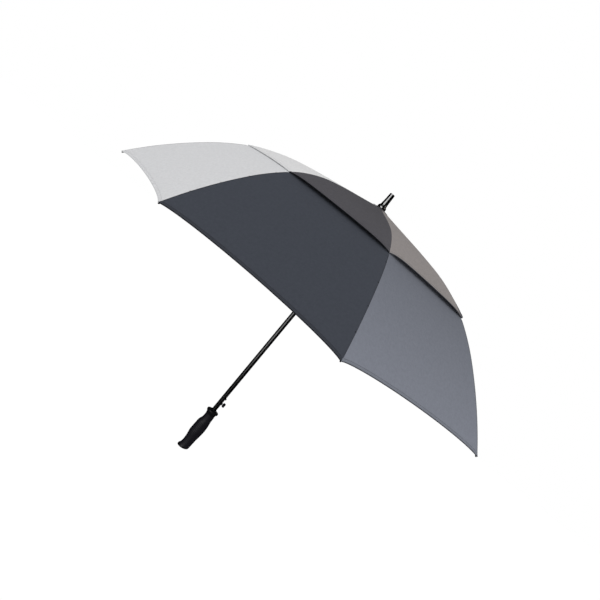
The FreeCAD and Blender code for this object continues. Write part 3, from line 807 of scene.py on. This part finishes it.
def lofted(name, rings, material, depth=0.94, around=72, texture=None, tilt=None):
    """Closed body from oval rings (height, low x, high x), with an optional surface texture."""
    verts = []
    for z, low, high in rings:
        for q in range(around):
            angle = 2 * math.pi * q / around
            half = (high - low) / 2
            rise = texture(z, angle) if texture else 0.0
            x = (low + high) / 2 + (half + rise) * math.cos(angle)
            y = (half * depth + rise) * math.sin(angle)
            verts.append(Vector((x, y, z + (tilt(z, x) if tilt else 0.0))))
    obj = new_object(name, verts, closed_rings(len(rings), around), [material])
    sharpen_rims(obj, 35)
    return obj


def catmull(rows, steps):
    """Smooth list of rows through the given ones."""
    out = []
    for i in range(len(rows) - 1):
        a, b, c, d = (rows[max(0, min(len(rows) - 1, i + j))] for j in (-1, 0, 1, 2))
        for n in range(steps):
            out.append(tuple(catmull_value(*values, n / steps) for values in zip(a, b, c, d)))
    out.append(rows[-1])
    return out


def catmull_value(p, q, r, s, t):
    """Value between q and r on the curve through four values."""
    square = (2 * p - 5 * q + 4 * r - s) * t * t
    cube = (3 * q - p - 3 * r + s) * t ** 3
    return 0.5 * (2 * q + (r - p) * t + square + cube)


# Outlines of the handle's pieces: height, away side, button's side
GRIP_OUTLINE = [
    (0.0085, -0.0187, 0.0150), (0.0130, -0.0169, 0.0155), (0.0240, -0.0155, 0.0160),
    (0.0410, -0.0166, 0.0168), (0.0580, -0.0194, 0.0186), (0.0720, -0.0195, 0.0197),
    (0.0850, -0.0190, 0.0197), (0.0970, -0.0186, 0.0186), (0.1050, -0.0166, 0.0175),
    (0.1110, -0.0142, 0.0165), (0.1220, -0.0133, 0.0160), (0.1300, -0.0140, 0.0153),
]
GUARD_OUTLINE = [
    (0.1295, -0.0138, 0.0151), (0.1340, -0.0152, 0.0154), (0.1375, -0.0170, 0.0160),
    (0.1385, -0.0180, 0.0176), (0.1395, -0.0186, 0.0185), (0.1415, -0.0190, 0.0188),
    (0.1435, -0.0187, 0.0186), (0.1448, -0.0174, 0.0176), (0.1462, -0.0140, 0.0132),
    (0.1478, -0.0102, 0.0098), (0.1490, -0.0086, 0.0086),
]
HEEL_OUTLINE = [
    (0.0000, -0.0160, 0.0060), (0.0006, -0.0188, 0.0098), (0.0020, -0.0203, 0.0124),
    (0.0040, -0.0207, 0.0140), (0.0062, -0.0201, 0.0147), (0.0085, -0.0191, 0.0151),
]
HEEL_SLANT = 0.11
HEEL_BACK = 0.0207
HEEL_TOP = 0.0085

# Moulded ribs of the grip: where they fade in and out, and over what height
RIBS_FROM = 0.016
RIBS_FADE_IN = 0.012
RIBS_TO = 0.104
RIBS_FADE_OUT = 0.010
RIBS_PITCH = 0.0052
RIBS_STARTS = 3
RIBS_HEIGHT = 0.00028


def grip_texture(z, angle):
    """Shallow slanted ribs over the palm swell."""
    shown = smooth((z - RIBS_FROM) / RIBS_FADE_IN) * smooth((RIBS_TO - z) / RIBS_FADE_OUT)
    wave = math.sin(2 * math.pi * z / RIBS_PITCH + RIBS_STARTS * angle)
    return RIBS_HEIGHT * shown * wave


def heel_slant(z, x):
    """The heel's underside rises towards the button's side."""
    return HEEL_SLANT * (x + HEEL_BACK) * max(0.0, 1 - z / HEEL_TOP)


def build_handle():
    """Grip, guard and heel."""
    grip = lofted("grip_body", catmull(GRIP_OUTLINE, 14), RUBBER, texture=grip_texture, around=96)
    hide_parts("handle_grip")
    guard = lofted("grip_guard", catmull(GUARD_OUTLINE, 5), TRIM)
    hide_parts("handle_collar")
    heel = lofted("grip_heel", catmull(HEEL_OUTLINE, 5), TRIM, tilt=heel_slant)
    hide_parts("handle_end_cap")
    for piece, slot in ((grip, "grip_rubber"), (guard, "grip_trim"), (heel, "grip_trim")):
        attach(piece, "frame")


def turned(name, outline, material, around=64):
    """Closed solid of revolution about the shaft from (r, z) points, first and last on the axis."""
    verts = []
    inner = outline[1:-1]
    for r, z in inner:
        for q in range(around):
            angle = 2 * math.pi * q / around
            verts.append(Vector((r * math.cos(angle), r * math.sin(angle), z)))
    faces = side_faces(len(inner), around)
    low, high = len(verts), len(verts) + 1
    verts += [Vector((0, 0, outline[0][1])), Vector((0, 0, outline[-1][1]))]
    last = (len(inner) - 1) * around
    for q in range(around):
        faces.append((low, (q + 1) % around, q))
        faces.append((high, last + q, last + (q + 1) % around))
    obj = new_object(name, verts, faces, [material])
    sharpen_rims(obj, 35)
    return obj


# Outlines of the ferrule, hollow at its tip, and of the cap under it: radius, height
FERRULE_OUTLINE = [
    (0, 0.9155), (0.0090, 0.9155), (0.0108, 0.9157), (0.0107, 0.9166), (0.0101, 0.9178),
    (0.0097, 0.9200), (0.0093, 0.9240), (0.0084, 0.9380), (0.0080, 0.9480), (0.0078, 0.9560),
    (0.0076, 0.9574), (0.0070, 0.9580), (0.0050, 0.9580), (0.0045, 0.9572), (0.0042, 0.9530),
    (0, 0.9530),
]
CAP_OUTLINE = [
    (0, 0.9076), (0.0120, 0.9062), (0.0131, 0.9058), (0.0136, 0.9066), (0.0137, 0.9084),
    (0.0135, 0.9112), (0.0130, 0.9130), (0.0122, 0.9144), (0.0115, 0.9152), (0.0106, 0.9155),
    (0, 0.9155),
]


def build_crown():
    """Ferrule with a hollow tip, the domed cap under it and the cloth rosette that it clamps."""
    spike = turned("ferrule_spike", FERRULE_OUTLINE, GLOSS)
    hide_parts("ferrule")
    cap = turned("crown_dome", CAP_OUTLINE, GLOSS)
    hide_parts("crown_cap")
    for piece in (spike, cap):
        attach(piece, "frame")
    build_rosette()


def build_rosette():
    """Pinked cloth disc under the cap, sloping with the canopy."""
    rows, columns = 8, 2 * ROSETTE_TEETH + 1
    fall = math.tan(slope(0.0))
    outer, inner, uv = [], [], []
    for row in range(rows + 1):
        for q in range(columns):
            angle = math.pi * q / ROSETTE_TEETH
            r = ROSETTE[0] + (ROSETTE[1] - ROSETTE[0]) * row / rows
            r += ROSETTE_TOOTH * (q % 2) * (row == rows)
            top = CROWN_Z + ROSETTE_RISE - r * fall
            for points, z in ((outer, top), (inner, top - 2 * CLOTH)):
                points.append(Vector((r * math.cos(angle), r * math.sin(angle), z)))
            uv.append((r * math.cos(angle), r * math.sin(angle)))
    # The rosette takes the upper charcoal, with painted light
    disc = ring_object("rosette", outer, inner, uv, columns, [cloth("upper_charcoal")])
    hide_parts("crown_rosette")
    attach(disc, "frame")


def ring_object(name, outer, inner, uv, columns, materials):
    """Closed washer of cloth from two grids whose first and last columns coincide."""
    count = columns - 1
    rows = len(outer) // columns
    verts, coords = [], []
    for grid in (outer, inner):
        for i in range(rows):
            verts += grid[i * columns:i * columns + count]
            coords += uv[i * columns:i * columns + count]
    lower = rows * count
    faces = []
    for i in range(rows - 1):
        for j in range(count):
            a, b = i * count + j, i * count + (j + 1) % count
            faces += [(a, b, b + count, a + count)]
            faces += [(lower + a + count, lower + b + count, lower + b, lower + a)]
    for start in (0, (rows - 1) * count):
        for j in range(count):
            a, b = start + j, start + (j + 1) % count
            faces.append((a, b, lower + b, lower + a))
    obj = new_object(name, verts, faces, materials, uvs=coords)
    sharpen_rims(obj)
    return obj


# Button cap: distance from the shaft's axis, and how far its edge is drawn in there
BUTTON_OUTLINE = ((0.0113, 0.0006), (0.0115, 0.0), (0.0160, 0.0), (0.0172, 0.0007), (0.0179, 0.0022))
RIDGE_X = 0.0178
RIDGE_PATH = (-0.0026, -0.0022, 0.0, 0.0022, 0.0026)
RIDGE_RADII = (0.0001, 0.0004, 0.0005, 0.0004, 0.0001)


def rounded(x):
    """A sine or cosine bent towards 1, which squares the ring that it draws."""
    return math.copysign(abs(x) ** BUTTON_SQUARENESS, x)


def build_button():
    """Button cap with rounded edges and grip ridges, over the CAD button's cap."""
    verts, around = [], 48
    for x, shrink in BUTTON_OUTLINE:
        half_y, half_z = BUTTON_HALF[0] - shrink, BUTTON_HALF[1] - shrink
        for q in range(around):
            angle = 2 * math.pi * q / around
            y, z = half_y * rounded(math.cos(angle)), half_z * rounded(math.sin(angle))
            verts.append(Vector((x, y, BUTTON_Z + z)))
    cap = new_object("button_cap", verts, closed_rings(len(BUTTON_OUTLINE), around), [TRIM])
    sharpen_rims(cap, 50)
    pieces = [cap]
    for i in range(BUTTON_RIDGES):
        z = BUTTON_Z + (i - BUTTON_RIDGES // 2) * BUTTON_RIDGE_PITCH
        path = [Vector((RIDGE_X, y, z)) for y in RIDGE_PATH]
        pieces.append(tube("button_ridge_%d" % (i + 1), path, RIDGE_RADII, TRIM, 8))
    for piece in pieces:
        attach(piece, "button")


def build_button_spring():
    """Return spring round the button's stem."""
    steps, sides = 112, 8
    start, end = COIL_SPAN
    verts = []
    for i in range(steps + 1):
        turn = 2 * math.pi * COIL_TURNS * i / steps
        radial = Vector((0, math.cos(turn), math.sin(turn)))
        centre = Vector((start + (end - start) * i / steps, 0, BUTTON_Z)) + radial * COIL_R
        for q in range(sides):
            angle = 2 * math.pi * q / sides
            out = radial * math.cos(angle) + Vector((math.sin(angle), 0, 0))
            verts.append(centre + out * COIL_WIRE_R)
    spring = new_object("button_coil", verts, closed_rings(steps + 1, sides), [WIRE])
    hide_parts("button_spring")
    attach(spring, "frame")
    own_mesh(spring)


# Tie strap: places across it from edge to edge, where its bound edges start, and its rounded end
STRAP_COLUMNS = (-1.0, -0.86, -0.8, -0.4, 0.0, 0.4, 0.8, 0.86, 1.0)
STRAP_BINDING = 0.82
STRAP_ROUND = 0.08
STRAP_NARROWING = 0.45
SNAP_OUTLINE = (
    (0.0, 0.0), (0.0052, 0.0), (0.0055, 0.0006), (0.0052, 0.0013), (0.0040, 0.0015), (0.0, 0.0015),
)
SNAP_SINK = 0.0004


def build_strap():
    """Closing strap under one panel, bound at its edges, with a snap at its loose end."""
    k, half, reach = STRAP_PANEL, STRAP_WIDTH / 2, STRAP_LENGTH / RIB_LENGTH
    outer, inner, uv = [], [], []
    for i in range(31):
        t = i / 30
        s = STRAP_AT - reach * (1 - t)
        narrow = 1 - STRAP_NARROWING * max(0.0, (STRAP_ROUND - t) / STRAP_ROUND) ** 2
        for c in STRAP_COLUMNS:
            u = 0.5 + c * half * narrow / chord_at(s)
            thick = STRAP_BOUND if abs(c) > STRAP_BINDING else STRAP_THIN
            outer.append(on_panel(k, s, u, STRAP_OFFSET + thick))
            inner.append(on_panel(k, s, u, STRAP_OFFSET - thick))
            uv.append((c * half, s * RIB_LENGTH))
    strap = sheet_object("tie_strap_cloth", outer, inner, uv, len(STRAP_COLUMNS), [cloth("charcoal")])
    loose_end = STRAP_AT - reach
    centre = on_panel(k, loose_end + SNAP_INSET / RIB_LENGTH, 0.5, STRAP_OFFSET - SNAP_SINK)
    snap = disc_on("tie_strap_snap", centre, -panel_normal(k, loose_end), SNAP_OUTLINE, WIRE)
    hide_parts("tie_strap")
    for piece, slot in ((strap, "charcoal_cloth"), (snap, "spring_steel")):
        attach(piece, "main_panel_%d" % (k + 1))
        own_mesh(piece)


def disc_on(name, centre, normal, profile, material, around=32):
    """Small turned piece standing on a surface, from (r, height) pairs."""
    across = normal.cross(Vector((0, 0, 1))).normalized()
    other = normal.cross(across).normalized()
    verts = [centre + normal * profile[0][1]]
    for r, h in profile[1:-1]:
        for q in range(around):
            angle = 2 * math.pi * q / around
            verts.append(centre + normal * h + (across * math.cos(angle) + other * math.sin(angle)) * r)
    verts.append(centre + normal * profile[-1][1])
    rings = len(profile) - 2
    faces = side_faces(rings, around, 1)
    last = 1 + (rings - 1) * around
    for q in range(around):
        faces.append((0, 1 + (q + 1) % around, 1 + q))
        faces.append((len(verts) - 1, last + q, last + (q + 1) % around))
    obj = new_object(name, verts, faces, [material])
    sharpen_rims(obj, 35)
    return obj


build_handle()
build_crown()
build_button()
build_button_spring()
build_strap()


# CAD nodes that stay in view

def finish_node(name, material):
    """Give a CAD node its material."""
    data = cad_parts[name].data
    data.materials.clear()
    data.materials.append(material)


FINISHES = {
    FIBRE: ["shaft"],
    NYLON: ["crown_notch", "runner", "spring_plunger", "latch_catch", "shaft_plug"],
    TRIM: ["push_button"],
    WIRE: ["main_spring", "crown_wire", "runner_wire", "crown_pin", "latch_pin"],
}
for finish, names in FINISHES.items():
    for node in names:
        finish_node(node, finish)
for rib in range(RIBS):
    finish_node("rib_%d" % (rib + 1), FIBRE)
    finish_node("stretcher_%d" % (rib + 1), ENAMEL)


# Stage, lights and camera

def stage_floor():
    """Plain white floor with an even glow of its own, so that it shows no shadow."""
    mesh = bpy.data.meshes.new("stage_floor")
    corners = [(x * FLOOR_HALF, y * FLOOR_HALF, FLOOR_Z) for x, y in ((-1, -1), (1, -1), (1, 1), (-1, 1))]
    mesh.from_pydata(corners, [], [(0, 1, 2, 3)])
    floor = bpy.data.objects.new("stage_floor", mesh)
    bpy.context.collection.objects.link(floor)
    material, _, _, main = shader("stage_white")
    main.inputs["Base Color"].default_value = (0.02, 0.02, 0.02, 1)
    main.inputs["Roughness"].default_value = 1.0
    main.inputs["Specular IOR Level"].default_value = 0.0
    main.inputs["Emission Color"].default_value = (1, 1, 1, 1)
    main.inputs["Emission Strength"].default_value = 1.0
    mesh.materials.append(material)
    floor.visible_glossy = False


def soft_light(name, place, target, size, energy, colour=(1, 1, 1)):
    """Rectangular area light at a place, turned to a target."""
    data = bpy.data.lights.new(name, "AREA")
    data.shape = "RECTANGLE"
    data.size, data.size_y = size
    data.energy = energy
    data.color = colour
    lamp = bpy.data.objects.new(name, data)
    lamp.location = place
    lamp.rotation_euler = (Vector(target) - Vector(place)).to_track_quat("-Z", "Y").to_euler()
    bpy.context.collection.objects.link(lamp)


def glossy_only(name, place, target, size, energy):
    """Broad panel seen only in reflections, which draws the highlight along shiny parts."""
    soft_light(name, place, target, size, energy)
    lamp = bpy.data.objects[name]
    lamp.visible_diffuse = False
    lamp.visible_camera = False


def build_world(strength):
    """Even white surroundings, which aren't seen in reflections."""
    world = bpy.data.worlds.new("studio")
    world.use_nodes = True
    sky = world.node_tree.nodes["Background"]
    sky.inputs["Color"].default_value = (1, 1, 1, 1)
    sky.inputs["Strength"].default_value = strength
    bpy.context.scene.world = world
    world.cycles_visibility.glossy = False


def build_camera():
    """Camera rolled so that the umbrella leans with its ferrule up to the right."""
    data = bpy.data.cameras.new("camera")
    data.lens = 38.71
    data.sensor_width = 36.0
    data.clip_end = 200.0
    camera = bpy.data.objects.new("camera", data)
    right = Vector((0.7654, -0.0949, 0.6365))
    up = Vector((-0.6152, 0.1823, 0.7670))
    back = right.cross(up)
    place = Vector((-0.3626, -1.8197, 0.7097))
    camera.matrix_world = Matrix((
        (right.x, up.x, back.x, place.x),
        (right.y, up.y, back.y, place.y),
        (right.z, up.z, back.z, place.z),
        (0, 0, 0, 1),
    ))
    bpy.context.collection.objects.link(camera)
    bpy.context.scene.camera = camera


stage_floor()
build_world(1.0)
soft_light("key", (-1.9, -1.9, 2.2), (0, 0, 0.75), (0.10, 1.1), 10.0)
soft_light("fill", (2.2, -0.8, 2.6), (0, 0, 0.75), (1.6, 1.6), 14.0, (1.0, 0.95, 0.88))
glossy_only("sheen", (-1.9, -3.0, 1.1), (0, 0, 0.7), (3.2, 3.0), 200.0)
build_camera()
bpy.context.scene.view_settings.view_transform = "Standard"
